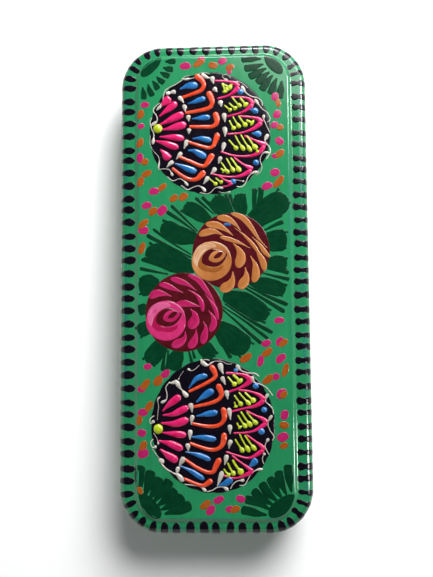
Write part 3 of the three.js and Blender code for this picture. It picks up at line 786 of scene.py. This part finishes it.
LOWER_FAN = {
    "disc": ((-0.9, -57.5), 24.4, 26.1),
    "bead": (-22.6, -58.9),
    "petals": [
        ([(-20.8, -51.9), (-17.8, -48.9), (-14.0, -46.2)], 3.0),
        ([(-20.9, -53.5), (-16.0, -52.9), (-10.9, -50.4)], 2.9),
        ([(-21.6, -56.6), (-16.0, -56.8), (-11.0, -55.4)], 3.2),
        ([(-21.0, -60.3), (-16.2, -60.9), (-11.8, -61.3)], 2.8),
        ([(-22.6, -63.5), (-17.8, -64.8), (-13.2, -66.6)], 3.1),
        ([(-21.9, -66.8), (-19.0, -68.9), (-15.4, -71.3)], 3.2),
    ],
    "blues": [
        ([(-10.4, -43.0), (-8.6, -40.6), (-6.8, -38.9), (-3.2, -38.0)], 2.3),
        ([(-7.4, -48.4), (-4.4, -46.0), (-0.8, -44.0)], 2.9),
        ([(-7.5, -53.9), (-3.6, -53.3), (0.8, -52.4)], 2.5),
        ([(-9.8, -62.0), (-4.4, -62.4), (0.2, -63.0)], 2.5),
        ([(-11.9, -67.8), (-7.0, -69.0), (-2.2, -71.0)], 2.2),
        ([(-14.2, -73.2), (-9.4, -75.5), (-4.6, -78.4)], 2.2),
        ([(13.0, -74.1), (14.4, -72.8), (16.2, -71.0)], 2.7),
        ([(0.8, -81.0), (3.4, -80.3), (6.4, -78.6)], 2.6),
    ],
    "hooks": [
        ([(-10.4, -44.3), (-5.2, -42.0), (-1.2, -39.8), (0.3, -38.2), (-0.2, -36.4), (-1.4, -34.2)], 2.3),
        ([(-8.6, -50.3), (-3.2, -49.2), (0.8, -47.8), (2.5, -46.0), (2.4, -44.2), (1.3, -41.6)], 2.4),
        ([(-9.2, -56.7), (-3.2, -57.9), (0.8, -57.8), (3.0, -56.4), (3.7, -54.2), (3.2, -50.8)], 2.4),
        ([(-10.2, -64.4), (-5.2, -66.2), (-1.2, -67.1), (1.8, -66.4), (3.2, -64.2), (3.6, -60.8)], 2.4),
        ([(-12.2, -70.7), (-7.2, -74.0), (-3.2, -75.8), (-0.9, -75.6), (0.2, -73.6), (1.8, -70.6)], 2.4),
        ([(-12.5, -78.1), (-8.8, -79.8), (-5.4, -80.9), (-3.4, -80.3), (-1.5, -78.9)], 2.2),
    ],
    "whites": [
        ([(-18.4, -40.7), (-17.0, -40.7), (-15.0, -40.2)], 1.6),
        ([(-13.0, -43.8), (-14.4, -42.0), (-15.4, -40.3)], 1.9),
        ([(-13.4, -43.2), (-12.4, -44.6), (-10.9, -46.2)], 1.9),
        ([(-9.0, -52.4), (-9.3, -50.8), (-9.7, -49.0)], 2.0),
        ([(-9.4, -57.3), (-9.2, -55.6), (-9.0, -53.7)], 1.8),
        ([(-10.0, -63.2), (-9.9, -61.5), (-9.8, -59.5)], 1.9),
        ([(-10.7, -67.6), (-10.8, -66.2), (-10.9, -64.7)], 1.9),
        ([(-14.3, -73.6), (-13.6, -71.9), (-12.4, -70.2)], 2.1),
        ([(-15.2, -76.8), (-15.0, -75.4), (-14.7, -73.8)], 1.7),
        ([(-16.9, -76.0), (-14.6, -76.9), (-12.8, -79.2)], 2.0),
        ([(-1.6, -33.5), (-3.4, -33.8), (-5.2, -32.5)], 1.8),
        ([(3.4, -37.4), (2.7, -35.6), (2.0, -33.3)], 2.2),
        ([(4.2, -41.7), (3.6, -40.2), (2.9, -38.6)], 1.8),
        ([(5.1, -47.4), (4.9, -45.8), (4.5, -44.1)], 2.0),
        ([(6.1, -55.4), (5.9, -53.4), (5.5, -51.0)], 1.9),
        ([(6.0, -61.0), (5.9, -59.4), (5.8, -57.6)], 1.9),
        ([(5.3, -66.6), (5.7, -65.0), (6.1, -63.4)], 1.8),
        ([(3.7, -73.0), (4.1, -71.2), (4.6, -69.2)], 1.9),
        ([(0.7, -81.2), (1.7, -78.4), (2.7, -75.6)], 1.9),
    ],
    "arms": [
        ([(4.4, -37.0), (8.0, -37.3), (12.0, -38.0), (14.3, -39.7)], 2.3),
        ([(5.4, -44.4), (9.4, -43.1), (12.4, -41.6), (14.3, -39.9)], 2.2),
        ([(9.3, -43.7), (13.8, -44.3), (17.5, -45.7), (19.6, -47.8)], 2.0),
        ([(6.1, -52.3), (11.8, -51.0), (16.0, -50.0), (19.4, -48.1)], 2.0),
        ([(12.3, -51.9), (15.8, -53.7), (18.8, -55.1), (20.5, -56.5)], 2.0),
        ([(7.2, -60.7), (12.8, -60.3), (16.5, -59.2), (20.3, -56.8)], 1.9),
        ([(12.3, -61.3), (15.5, -63.5), (17.9, -65.4), (19.2, -67.1)], 1.9),
        ([(4.1, -67.8), (8.8, -69.3), (13.6, -70.2), (19.0, -67.4)], 1.8),
        ([(6.6, -69.3), (10.0, -72.0), (14.6, -75.5)], 1.8),
        ([(2.8, -76.9), (6.8, -78.1), (10.4, -77.5), (14.4, -75.7)], 1.8),
    ],
    "pins": [
        ([(5.1, -38.4), (6.6, -40.2), (8.3, -41.8)], 2.1),
        ([(7.3, -37.6), (8.6, -39.0), (10.4, -40.6)], 3.0),
        ([(7.7, -48.4), (8.0, -49.4), (8.4, -50.4)], 1.8),
        ([(7.7, -45.7), (9.0, -47.6), (10.8, -49.8)], 2.0),
        ([(9.5, -44.6), (11.4, -46.9), (14.0, -49.6)], 1.9),
        ([(11.9, -44.6), (13.6, -46.4), (15.9, -48.3)], 2.3),
        ([(8.7, -56.6), (9.2, -57.6), (10.0, -58.6)], 1.9),
        ([(9.0, -53.6), (10.4, -55.9), (12.4, -58.4)], 1.9),
        ([(10.2, -52.2), (12.0, -55.0), (14.3, -58.0)], 2.1),
        ([(12.6, -52.4), (14.4, -54.8), (16.6, -57.2)], 2.0),
        ([(7.9, -62.9), (9.3, -65.2), (11.1, -67.9)], 2.0),
        ([(9.6, -61.0), (11.2, -64.2), (13.5, -67.9)], 1.9),
        ([(11.7, -61.4), (13.4, -64.1), (15.9, -67.2)], 1.9),
        ([(3.3, -74.5), (4.3, -75.8), (5.5, -77.1)], 2.0),
        ([(4.9, -72.1), (5.9, -74.4), (7.4, -76.9)], 2.0),
        ([(6.8, -70.9), (8.3, -73.6), (10.5, -76.3)], 2.6),
    ],
    "blue_dots": [
        ((8.4, -36.0), 0.95), ((16.3, -42.2), 1.25), ((19.5, -51.6), 1.2), ((18.3, -60.0), 1.35),
    ],
    "rim": [
        ([(-18.0, -40.3), (-19.6, -42.6), (-19.1, -45.2), (-19.5, -47.4), (-21.4, -48.6)], 1.4),
        ([(-6.2, -33.8), (-7.6, -35.2), (-9.2, -36.0), (-10.7, -35.2)], 1.2),
        ([(-2.0, -32.0), (-3.6, -31.5), (-5.6, -32.0)], 1.2),
        ([(7.0, -33.4), (5.0, -33.4), (3.0, -32.4), (0.0, -32.3), (-2.2, -33.6)], 0.9),
        ([(17.6, -38.4), (16.0, -37.3), (13.0, -37.0), (10.4, -36.0), (8.9, -33.9)], 2.0),
        ([(23.0, -46.0), (20.6, -43.0), (18.3, -41.6), (15.6, -40.6), (14.9, -38.5)], 1.5),
        ([(23.3, -53.4), (22.8, -51.2), (21.4, -49.6), (20.1, -48.0), (21.0, -45.4)], 1.6),
        ([(22.5, -63.6), (23.2, -62.2), (22.6, -61.0), (21.6, -59.4), (20.9, -56.6), (22.5, -53.9)], 1.5),
        ([(21.2, -69.0), (20.3, -67.4), (19.7, -65.4), (21.0, -62.9)], 1.5),
        ([(19.0, -72.6), (18.5, -70.6), (19.4, -68.4)], 1.4),
        ([(9.4, -80.9), (11.4, -80.7), (12.6, -79.0), (14.0, -76.6), (16.0, -75.0), (18.6, -74.6)], 1.3),
        ([(5.8, -82.2), (7.0, -80.4), (8.6, -79.2), (11.2, -78.9)], 1.5),
        ([(-3.4, -83.3), (-1.4, -82.8), (0.6, -81.7), (3.0, -81.5), (4.9, -82.7)], 1.7),
        ([(-12.2, -80.4), (-9.0, -80.8), (-6.0, -81.4), (-3.7, -83.0)], 1.5),
        ([(-17.0, -75.9), (-20.0, -74.0), (-22.4, -70.8), (-20.6, -72.0)], 2.2),
        ([(-24.6, -62.8), (-25.6, -64.2), (-24.8, -66.2), (-23.4, -65.8)], 1.5),
        ([(-24.2, -53.6), (-25.8, -55.0), (-25.6, -56.8), (-24.3, -55.7)], 1.5),
        ([(-25.0, -66.6), (-22.6, -69.8), (-20.8, -71.0)], 0.8),
        ([(-23.0, -55.4), (-22.7, -52.0), (-22.5, -50.0), (-22.8, -47.5), (-21.9, -46.2)], 0.8),
        ([(-24.4, -60.5), (-23.1, -62.6), (-22.6, -65.0)], 0.8),
        ([(-12.4, -36.0), (-13.6, -37.6), (-14.6, -39.6)], 0.7),
    ],
}


def hook_shape(t):
    return (0.5 + 0.15 * smoothstep(t / 0.5) + 0.35 * smoothstep((t - 0.6) / 0.3)) * caps(t, 0.02, 0.08)


def arch_shape(t):
    return (0.42 + 0.58 * smoothstep((t - 0.45) / 0.5)) * caps(t, 0.03, 0.07)


def pin_shape(t):
    """A thin line that ends in a dot."""
    return np.maximum(0.36, np.sqrt(np.clip(1 - ((t - 0.81) / 0.19) ** 2, 0, 1))) * caps(t, 0.05, 0.06)


def rim_shape(t):
    return (0.3 + 0.7 * smoothstep((t - 0.72) / 0.16)) * caps(t, 0.02, 0.1)


# Which paint each kind of stroke is in, its outline and how high it stands.
FAN_STYLES = {
    "petals": ("pink", drop_shape, 0.85),
    "blues": ("blue", drop_shape, 0.75),
    "hooks": ("orange", hook_shape, 0.75),
    "whites": ("white", drop_shape, 0.7),
    "arms": ("pink", arch_shape, 0.6),
    "pins": ("yellow", pin_shape, 0.75),
    "rim": ("white", rim_shape, 0.5),
}


def lengthen(path, amount):
    """The same path with its last point pushed on, so that its rounded head reaches that far."""
    end = np.array(path[-1], float)
    step = end - np.array(path[-2], float)
    return list(path[:-1]) + [tuple(end + amount * step / np.linalg.norm(step))]


def paint_fan(fan):
    centre, across_radius, along_radius = fan["disc"]
    black.blob(centre, across_radius, 0.07, squash=along_radius / across_radius, spokes=120,
               rough=0.004, wave=24)
    for kind, (colour, shape, height) in FAN_STYLES.items():
        paint = RELIEF[colour]
        for path, width in fan[kind]:
            path = [jitter(p, 0.06) for p in path]
            width = width * (0.85 if kind == "rim" else 1)
            paint.stroke_lid(lengthen(path, 0.15 * width), width / 2, shape, height, cols=9,
                             rows=12 + 5 * len(path))
    for place, radius in fan["blue_dots"]:
        RELIEF["blue"].dot(place, radius, 0.8)
    RELIEF["yellow"].dot(fan["bead"], 1.95, 1.1)


def jitter(point, amount=0.25):
    return (point[0] + rng.uniform(-amount, amount), point[1] + rng.uniform(-amount, amount))


paint_fan(UPPER_FAN)
paint_fan(LOWER_FAN)

# ---- the two roses ----
# A rose is a round maroon ground, petals as (path from tip to broad end, width), and its rolled head.

OCHRE_ROSE = {
    "ground": ((7.0, 12.2), 15.7),
    "petals": [
        ([(4.4, 18.2), (1.0, 20.0), (-2.4, 20.2), (-6.0, 18.8)], 3.0),
        ([(14.8, 13.2), (10.5, 15.3), (6.4, 16.9), (2.6, 17.8)], 1.8),
        ([(8.0, 18.4), (5.0, 20.8), (1.4, 22.6), (-3.2, 23.4)], 3.0),
        ([(11.0, 20.4), (8.8, 23.2), (5.8, 25.2), (1.4, 26.0)], 2.8),
        ([(8.4, 21.6), (12.4, 18.4), (16.0, 14.2), (18.6, 10.2)], 1.5),
        ([(21.6, 13.0), (18.0, 17.2), (14.8, 22.4), (11.6, 25.8), (7.2, 27.5)], 2.4),
        ([(15.6, 17.9), (18.2, 15.0), (20.4, 11.8), (22.7, 9.2)], 1.9),
        ([(14.9, 10.0), (16.6, 6.2), (17.0, 2.6), (15.8, -0.8)], 3.3),
        ([(16.2, 14.6), (18.2, 10.8), (19.7, 7.6), (20.4, 3.8)], 2.7),
        ([(7.9, 15.3), (10.2, 12.4), (11.0, 9.0), (9.6, 5.2)], 4.1),
        ([(12.7, 5.4), (13.0, 2.0), (12.0, -1.0), (10.2, -3.4)], 3.9),
        ([(7.7, 3.8), (7.4, 0.4), (5.8, -2.2), (2.4, -3.6)], 4.2),
    ],
    "head": (-0.9, 8.1),
}
PINK_ROSE = {
    "ground": ((-12.3, -12.5), 15.8),
    "petals": [
        ([(-17.2, -6.0), (-20.6, -5.0), (-23.4, -4.8), (-26.2, -6.6)], 3.2),
        ([(-12.4, -4.8), (-16.4, -2.9), (-19.6, -1.6), (-22.4, -1.2)], 2.5),
        ([(-7.1, -3.8), (-10.8, -1.4), (-14.0, 0.2), (-17.6, 1.2)], 2.5),
        ([(-10.6, -3.4), (-7.2, -5.6), (-5.0, -8.6), (-4.6, -12.6)], 1.9),
        ([(1.4, -11.8), (-0.6, -7.4), (-3.2, -3.4), (-6.4, 0.4), (-10.6, 2.6)], 2.3),
        ([(-3.6, -5.2), (-1.0, -8.8), (0.8, -12.2), (1.5, -15.8)], 1.7),
        ([(-5.0, -10.4), (-8.6, -9.6), (-12.0, -9.1), (-15.4, -9.2)], 2.7),
        ([(-9.6, -11.2), (-7.9, -13.4), (-8.2, -16.4), (-10.0, -19.2)], 4.3),
        ([(-4.4, -16.2), (-3.5, -19.0), (-3.9, -22.0), (-5.0, -25.4)], 2.9),
        ([(-2.4, -11.8), (-0.6, -14.4), (-0.3, -17.2), (-1.7, -20.6)], 2.7),
        ([(-7.4, -19.4), (-7.4, -21.8), (-8.4, -24.4), (-10.4, -26.8)], 3.3),
        ([(-11.6, -20.2), (-12.0, -22.8), (-13.8, -24.8), (-17.2, -26.0)], 3.5),
    ],
    "head": (-19.5, -15.9),
}


def petal_shape(t):
    return (0.12 + 0.88 * smoothstep(t / 0.7)) * caps(t, 0.02, 0.3)


def crescent_shape(t):
    return np.sin(math.pi * np.clip(t, 0.001, 0.999)) ** 0.6


def arc_path(centre, radius, start, end):
    """Nine points along an arc, from start to end in degrees."""
    angles = np.radians(np.linspace(start, end, 9))
    return [(centre[0] + radius * math.cos(a), centre[1] + radius * math.sin(a)) for a in angles]


def paint_rose(rose, petals, lighter, darker):
    centre, radius = rose["ground"]
    maroon.blob(centre, radius, 0.06, rough=0.012)
    for path, width in rose["petals"]:
        path = [jitter(p, 0.1) for p in path]
        petals.stroke_lid(path, width / 2, petal_shape, 0.1, lift=0.06, rows=24)
    x, y = rose["head"]
    petals.blob((x, y), 8.0, 0.07, lift=0.08, squash=1.02, rough=0.012)
    # The rolled head: a pale outer fold over the top left, the shaded bowl inside it, and a lower lip.
    darker.stroke_lid(arc_path((x + 0.5, y + 0.5), 4.7, 92, 250), 2.2, crescent_shape,
                      0.04, lift=0.14, rows=30)
    darker.stroke_lid(arc_path((x + 0.8, y + 1.3), 5.0, 215, 325), 1.0, crescent_shape,
                      0.04, lift=0.15, rows=26)
    lighter.stroke_lid(arc_path((x - 0.1, y + 0.1), 6.2, 70, 200), 1.8, crescent_shape,
                       0.06, lift=0.16, rows=34)
    lighter.stroke_lid(arc_path((x + 0.5, y + 0.2), 7.3, 10, 96), 0.4, crescent_shape,
                       0.06, lift=0.16, rows=26)
    # The eye: a maroon almond, a ring of petal colour in it, and a maroon slit in that.
    maroon.stroke_lid([(x - 3.9, y - 0.5), (x - 1.0, y + 0.8), (x + 2.2, y + 1.6), (x + 6.4, y + 2.8)], 3.7,
                      eye_shape, 0.04, lift=0.2, rows=34, wobble=0.02)
    petals.stroke_lid([(x - 1.1, y + 0.6), (x + 2.1, y + 1.8), (x + 5.8, y + 2.9)], 2.4, eye_shape, 0.05,
                      lift=0.23, rows=30, wobble=0.02)
    maroon.stroke_lid([(x + 0.9, y + 1.1), (x + 2.7, y + 2.3), (x + 4.6, y + 3.5)], 0.95,
                      crescent_shape, 0.03, lift=0.28, rows=22)


def eye_shape(t):
    return np.sin(math.pi * np.clip(t, 0, 1) ** 0.9) ** 0.7


ochre_light = Paint("ochre_highlights",
                    brush_paint("ochre_light_enamel", srgb(172, 118, 74), srgb(202, 168, 138), contrast=1.6),
                    "ochre_enamel")
ochre_dark = Paint("ochre_shadows", brush_paint("ochre_dark_enamel", srgb(126, 70, 28), srgb(148, 88, 40)),
                   "ochre_enamel")
rose_light = Paint("pink_highlights",
                   brush_paint("rose_light_enamel", srgb(178, 52, 104), srgb(202, 106, 148), contrast=1.6),
                   "pink_enamel")
rose_dark = Paint("pink_shadows", brush_paint("rose_dark_enamel", srgb(140, 14, 58), srgb(160, 24, 76)),
                  "pink_enamel")
PAINTS += [ochre_light, ochre_dark, rose_light, rose_dark]

paint_rose(OCHRE_ROSE, ochre, ochre_light, ochre_dark)
paint_rose(PINK_ROSE, rose_pink, rose_light, rose_dark)
# A small smear of blue that the photo shows on the ochre rose.
RELIEF["blue"].stroke_lid([(4.1, 23.2), (7.1, 22.9)], 0.5, dab_shape, 0.04, lift=0.2)

# ---- leaves ----

# Broad leaves round the roses: (across, along) of the root and the tip, and the width.
BROAD_LEAVES = [
    ((-1.5, 24.6), (-12.2, 31.0), 6.4),
    ((7.0, 26.6), (0.2, 34.4), 6.8),
    ((12.0, 26.6), (10.8, 35.6), 5.4),
    ((14.6, 24.0), (29.6, 34.6), 10.2),
    ((16.4, 29.0), (17.0, 38.0), 2.0),
    ((18.0, 29.0), (19.8, 38.0), 2.2),
    ((-6.5, 17.0), (-21.6, 22.8), 7.8),
    ((-7.5, 4.6), (-27.6, 13.0), 9.0),
    ((-22.0, -1.2), (-30.6, -1.6), 8.6),
    ((-26.4, -10.8), (-30.8, -11.4), 4.6),
    ((-24.6, -16.6), (-30.8, -20.6), 5.8),
    ((-20.0, -22.6), (-26.8, -33.0), 7.2),
    ((-14.2, -27.4), (-16.4, -36.0), 6.4),
    ((-6.2, -24.0), (-0.6, -31.0), 6.4),
    ((0.6, -18.0), (13.2, -28.4), 10.2),
    ((3.8, -5.4), (21.6, -14.8), 8.6),
    ((14.6, 0.2), (28.8, -4.2), 6.6),
    ((21.0, 7.2), (29.6, 6.6), 6.4),
    ((20.4, 16.8), (29.8, 16.0), 9.2),
]
# Thin stems, root to tip, and the width at the tip.
STEMS = [
    ((-6.4, 20.4), (-17.4, 31.4), 1.5), ((-7.0, 20.0), (-19.2, 28.9), 1.8),
    ((-9.0, 10.8), (-24.8, 21.8), 1.4), ((-9.0, 9.6), (-27.4, 19.2), 1.9),
    ((-17.2, 4.0), (-29.6, 9.3), 1.6), ((-18.4, 3.0), (-30.2, 5.6), 1.7),
    ((0.2, 27.4), (-7.4, 34.4), 1.5), ((1.2, 27.4), (-4.6, 34.8), 1.7),
    ((8.2, 27.6), (4.9, 35.6), 1.5), ((9.4, 27.4), (6.6, 35.6), 1.6),
    ((18.4, 21.4), (28.0, 26.8), 1.6), ((20.2, 20.2), (28.4, 23.9), 1.9),
    ((20.2, 5.0), (30.3, 2.9), 1.8), ((18.2, 3.6), (30.5, 0.3), 1.7),
    ((13.2, -2.0), (29.6, -10.0), 1.9), ((11.8, -2.4), (28.4, -12.8), 2.0),
    ((4.2, -9.2), (23.4, -21.2), 1.8), ((3.2, -10.2), (21.6, -23.5), 1.5),
    ((2.8, -11.0), (19.0, -25.5), 1.7), ((-0.2, -20.2), (6.6, -31.2), 1.8),
    ((-10.8, -26.6), (-9.0, -33.0), 1.3), ((-9.2, -26.6), (-7.8, -31.2), 1.3),
    ((-19.4, -27.2), (-20.9, -36.0), 1.8), ((-18.6, -27.6), (-19.2, -36.0), 1.8),
]


def bent(root, tip, bend):
    """Root, middle and tip of a stroke that bows sideways by bend of its length."""
    middle = ((root[0] + tip[0]) / 2 - bend * (tip[1] - root[1]),
              (root[1] + tip[1]) / 2 + bend * (tip[0] - root[0]))
    return [root, middle, tip]


def broad_shape(t):
    return (0.6 + 0.4 * smoothstep(t / 0.45)) * caps(t, 0.06, 0.26)


def fray_tip(root, tip, width):
    """Short thin strokes past a leaf's blunt tip, as a drying brush leaves them."""
    root, tip = np.array(root), np.array(tip)
    along = (tip - root) / np.linalg.norm(tip - root)
    side = np.array([-along[1], along[0]]) * width
    for share in (-0.34, -0.12, 0.14, 0.36):
        start = tip - 2.4 * along + share * side
        end = tip + rng.uniform(-0.5, 0.35) * along + (share + rng.uniform(-0.05, 0.05)) * side
        leaves.stroke_lid([start, end], rng.uniform(0.45, 0.75), stem_shape, 0.02, lift=0.005, rows=9, cols=5)


def paint_rose_leaves():
    for root, tip, width in BROAD_LEAVES:
        fray_tip(root, tip, width)
        leaves.stroke_lid(bent(root, tip, rng.uniform(-0.04, 0.04)), width / 2, broad_shape, 0.025, rows=24,
                          cols=11, wobble=0.05)
    for root, tip, width in STEMS:
        leaves.stroke_lid(bent(root, tip, rng.uniform(-0.03, 0.03)), width / 2, stem_shape, 0.02,
                          rows=18, cols=5)


def corner_fan(leaf_root, leaf_tip, leaf_width, pivot, start, end, inner, outer, width, count=7):
    """One big leaf across the corner and a fan of blunt strokes behind it."""
    leaves.stroke_lid([leaf_root, leaf_tip], leaf_width / 2, leaf_shape, 0.03, rows=22, cols=9, wobble=0.06)
    for k in range(count):
        share = k / (count - 1)
        a = math.radians(start + (end - start) * share)
        reach = outer + rng.uniform(-0.9, 0.9) - 1.5 * math.sin(math.pi * share)
        root = inner - 1.2 * math.sin(math.pi * share)
        ends = [(pivot[0] + r * math.cos(a), pivot[1] + r * math.sin(a)) for r in (root, reach)]
        leaves.stroke_lid(bent(ends[0], ends[1], rng.uniform(-0.06, 0.06)), width / 2, blunt_shape, 0.03,
                          rows=18, wobble=0.08)


paint_rose_leaves()
corner_fan((-29.8, 86.4), (-21.4, 94.4), 4.8, (-30.4, 92.2), 1, -84, 10.5, 15.8, 2.6)
corner_fan((28.8, 86.0), (21.6, 94.2), 4.8, (30.0, 92.4), 180, 262, 9.5, 17.5, 3.2)
corner_fan((-22.0, -93.4), (-30.2, -83.8), 6.2, (-30.6, -95.5), 19, 87, 11.0, 22.0, 4.2)
corner_fan((21.0, -92.8), (30.8, -84.4), 6.0, (31.0, -94.5), 168, 96, 11.0, 21.5, 3.6)

# ---- scattered dabs ----

# (across, along, length, width, turn in degrees)
PINK_DABS = [
    (-11.3, 90.3, 4.8, 3.2, 0), (-4.6, 93.3, 3.0, 2.4, 10), (4.2, 92.0, 3.8, 2.9, 15),
    (7.0, 87.6, 2.8, 2.0, 80), (-28.2, 74.0, 3.6, 2.6, 10), (-29.8, 65.0, 2.8, 2.4, 0),
    (-30.2, 51.4, 4.4, 3.0, 95), (-24.4, 37.3, 4.4, 3.1, 12), (-27.4, 31.5, 4.3, 3.0, 12),
    (-21.0, 29.3, 4.8, 3.6, 60), (-28.7, 21.2, 4.2, 3.6, 10), (25.8, 76.2, 3.6, 3.2, 60),
    (26.5, 68.7, 3.9, 3.2, 45), (25.4, 64.2, 3.4, 2.9, 30), (27.3, 57.4, 3.8, 3.2, -30),
    (25.6, 51.2, 3.2, 2.3, 10), (25.3, 44.3, 4.0, 3.4, 0), (22.0, 38.7, 4.6, 3.2, 15),
    (26.0, -16.2, 4.2, 2.6, 5), (20.7, -25.3, 4.0, 2.8, 15), (26.0, -24.6, 4.0, 2.6, 60),
    (18.3, -32.3, 4.8, 2.6, 75), (26.4, -31.4, 4.8, 3.0, 45), (-26.9, -34.2, 3.4, 2.6, 0),
    (-19.8, -37.2, 4.4, 2.9, 40), (-29.2, -43.0, 3.6, 3.0, 30), (-28.7, -52.3, 4.2, 3.1, 10),
    (-29.2, -60.4, 3.7, 3.1, 0), (-28.7, -68.4, 4.6, 4.0, 30), (24.3, -38.6, 3.2, 2.8, 20),
    (26.5, -45.3, 4.6, 3.6, 40), (27.5, -53.6, 4.0, 3.2, 60), (26.7, -62.2, 4.8, 3.6, 12),
    (1.2, -86.4, 4.6, 2.8, 20), (9.8, -86.0, 3.8, 2.9, -10), (-2.0, -90.4, 4.6, 3.0, 52),
    (5.5, -90.0, 3.4, 2.7, 10),
]
ORANGE_DABS = [
    (-5.6, 91.4, 5.4, 2.6, 28), (0.3, 90.3, 4.0, 3.0, 0), (7.3, 89.2, 3.8, 2.8, 20),
    (-30.0, 70.0, 4.2, 2.8, 70), (-30.3, 57.8, 4.4, 2.8, 60), (-28.2, 49.8, 3.2, 2.8, 30),
    (-27.4, 44.8, 4.4, 2.6, 22), (-30.0, 41.4, 4.6, 2.7, 65), (-20.9, 39.0, 4.2, 2.4, 42),
    (-16.3, 34.3, 4.0, 2.6, 40), (-12.3, 34.8, 4.2, 3.0, 30), (-24.8, 29.0, 4.2, 3.0, 45),
    (-28.7, 23.9, 5.2, 2.6, 45), (-29.3, 13.8, 5.2, 2.5, 75), (27.0, 73.6, 3.8, 2.2, 95),
    (27.7, 63.2, 2.8, 2.6, 0), (27.4, 52.2, 4.4, 2.8, 45), (26.7, 40.4, 6.2, 2.7, 50),
    (27.5, -25.2, 4.2, 2.5, 40), (21.0, -28.9, 5.0, 2.6, 40), (12.5, -31.1, 5.6, 2.8, 35),
    (28.1, -36.0, 5.6, 2.4, 72), (-22.7, -39.9, 4.6, 3.4, 50), (-27.9, -41.4, 5.4, 2.7, 50),
    (-26.3, -50.0, 4.8, 2.6, 62), (-30.2, -55.4, 4.2, 2.4, 82), (-28.6, -65.4, 4.2, 2.8, 60),
    (-29.8, -82.8, 3.2, 2.0, -60), (21.2, -39.6, 5.2, 2.8, 38), (27.2, -45.7, 3.4, 2.6, 35),
    (27.3, -57.6, 3.8, 2.9, -10), (27.1, -65.6, 3.4, 2.3, 15), (-4.0, -88.3, 5.0, 2.7, 35),
    (7.6, -90.0, 4.2, 2.7, 15),
]


def paint_dabs(paint, dabs, lift):
    for across, along, length, width, turn in dabs:
        a = math.radians(turn)
        dx, dy = length / 2 * math.cos(a), length / 2 * math.sin(a)
        path = [(across - dx, along - dy), (across + dx, along + dy)]
        paint.stroke_lid(path, width / 2, dab_shape, 0.08, lift=lift, rows=20, cols=13, wobble=0.08)


paint_dabs(pink, PINK_DABS, 0.02)
paint_dabs(orange, ORANGE_DABS, 0.05)

for paint in PAINTS:
    paint.finish()

# ---- floor, light and camera ----


def make_floor():
    n = Nodes("studio_floor")
    cloudy = n.noise(n.stretched((1, 1, 1)), 4.0, 2.0)
    n.set(Base_Color=n.mix(cloudy, (0.93, 0.93, 0.93, 1), (0.96, 0.96, 0.96, 1)), Roughness=0.9)
    half = 3000.0
    corners = [(-half, -half, 0), (half, -half, 0), (half, half, 0), (-half, half, 0)]
    floor = mesh_object("studio_floor", corners, [(0, 1, 2, 3)], [n.material])


def area_light(name, across, along, height, size, power, gloss_only=False, matte_only=False):
    """A soft box at a place in metres, facing the box.

    gloss_only shows it in reflections alone, matte_only keeps it out of them.
    """
    light = bpy.data.lights.new(name, "AREA")
    light.shape = "RECTANGLE"
    light.size, light.size_y = size
    light.energy = power
    obj = bpy.data.objects.new(name, light)
    obj.location = (along, -across, height)
    obj.rotation_euler = (-obj.location).to_track_quat("-Z", "Y").to_euler()
    obj.visible_diffuse = not gloss_only
    obj.visible_glossy = not matte_only
    bpy.context.scene.collection.objects.link(obj)


def sun_light(name, across, along, up, angle, strength):
    """A broad even light from far off, out of the direction (across, along, up)."""
    light = bpy.data.lights.new(name, "SUN")
    light.angle = math.radians(angle)
    light.energy = strength
    obj = bpy.data.objects.new(name, light)
    obj.rotation_euler = Vector((-along, across, -up)).to_track_quat("-Z", "Y").to_euler()
    bpy.context.scene.collection.objects.link(obj)


make_floor()
sun_light("even_light", 0.35, 0.75, 0.66, 36, 2.4)
area_light("top_box", 0.08, 0.21, 0.2, (0.24, 0.2), 0.66, matte_only=True)
area_light("corner_box", 0.18, 0.29, 0.36, (0.30, 0.30), 1.4)
area_light("right_upper_strip", 0.33, 0.22, 0.24, (0.08, 0.14), 1.6, gloss_only=True)
area_light("right_lower_strip", 0.33, -0.11, 0.24, (0.05, 0.14), 1.0, gloss_only=True)
area_light("end_strip", 0.03, 0.42, 0.26, (0.13, 0.12), 2.0, gloss_only=True)
area_light("left_box", -0.75, -0.25, 0.3, (0.9, 0.4), 1.3)
area_light("far_box", 0.0, -0.85, 0.35, (0.5, 0.4), 0.7)

# A sky that is bright near the horizon and dim overhead.
world = bpy.data.worlds.new("studio")
world.use_nodes = True
sky = world.node_tree
direction = sky.nodes.new("ShaderNodeTexCoord")
split = sky.nodes.new("ShaderNodeSeparateXYZ")
sky.links.new(direction.outputs["Generated"], split.inputs[0])
fade = sky.nodes.new("ShaderNodeMapRange")
fade.inputs["From Min"].default_value = 0.1
fade.inputs["From Max"].default_value = 0.4
fade.inputs["To Min"].default_value = 0.68
fade.inputs["To Max"].default_value = 0.03
sky.links.new(split.outputs["Z"], fade.inputs["Value"])
sky.nodes["Background"].inputs["Color"].default_value = (0.96, 0.98, 1.0, 1)
sky.links.new(fade.outputs[0], sky.nodes["Background"].inputs["Strength"])
bpy.context.scene.world = world
bpy.context.scene.view_settings.view_transform = "Standard"

# The camera stands 306 mm over the lid's border, a little towards the front and the -X end.
CAMERA_ACROSS, CAMERA_ALONG, CAMERA_ABOVE = 15.1, -34.6, 305.7
CAMERA_PITCH, CAMERA_YAW, CAMERA_ROLL = 0.1027, 0.0471, -0.0077
camera_data = bpy.data.cameras.new("camera")
camera_data.lens = 47.4
camera = bpy.data.objects.new("camera", camera_data)
turn = Matrix.Rotation(CAMERA_ROLL - math.pi / 2, 4, "Z")
turn = turn @ Matrix.Rotation(CAMERA_YAW, 4, "Y") @ Matrix.Rotation(CAMERA_PITCH, 4, "X")
place = Vector((CAMERA_ALONG, MIDDLE_Y - CAMERA_ACROSS, BORDER_TOP + CAMERA_ABOVE)) * MM
camera.matrix_world = Matrix.Translation(place) @ turn
bpy.context.scene.collection.objects.link(camera)
bpy.context.scene.camera = camera
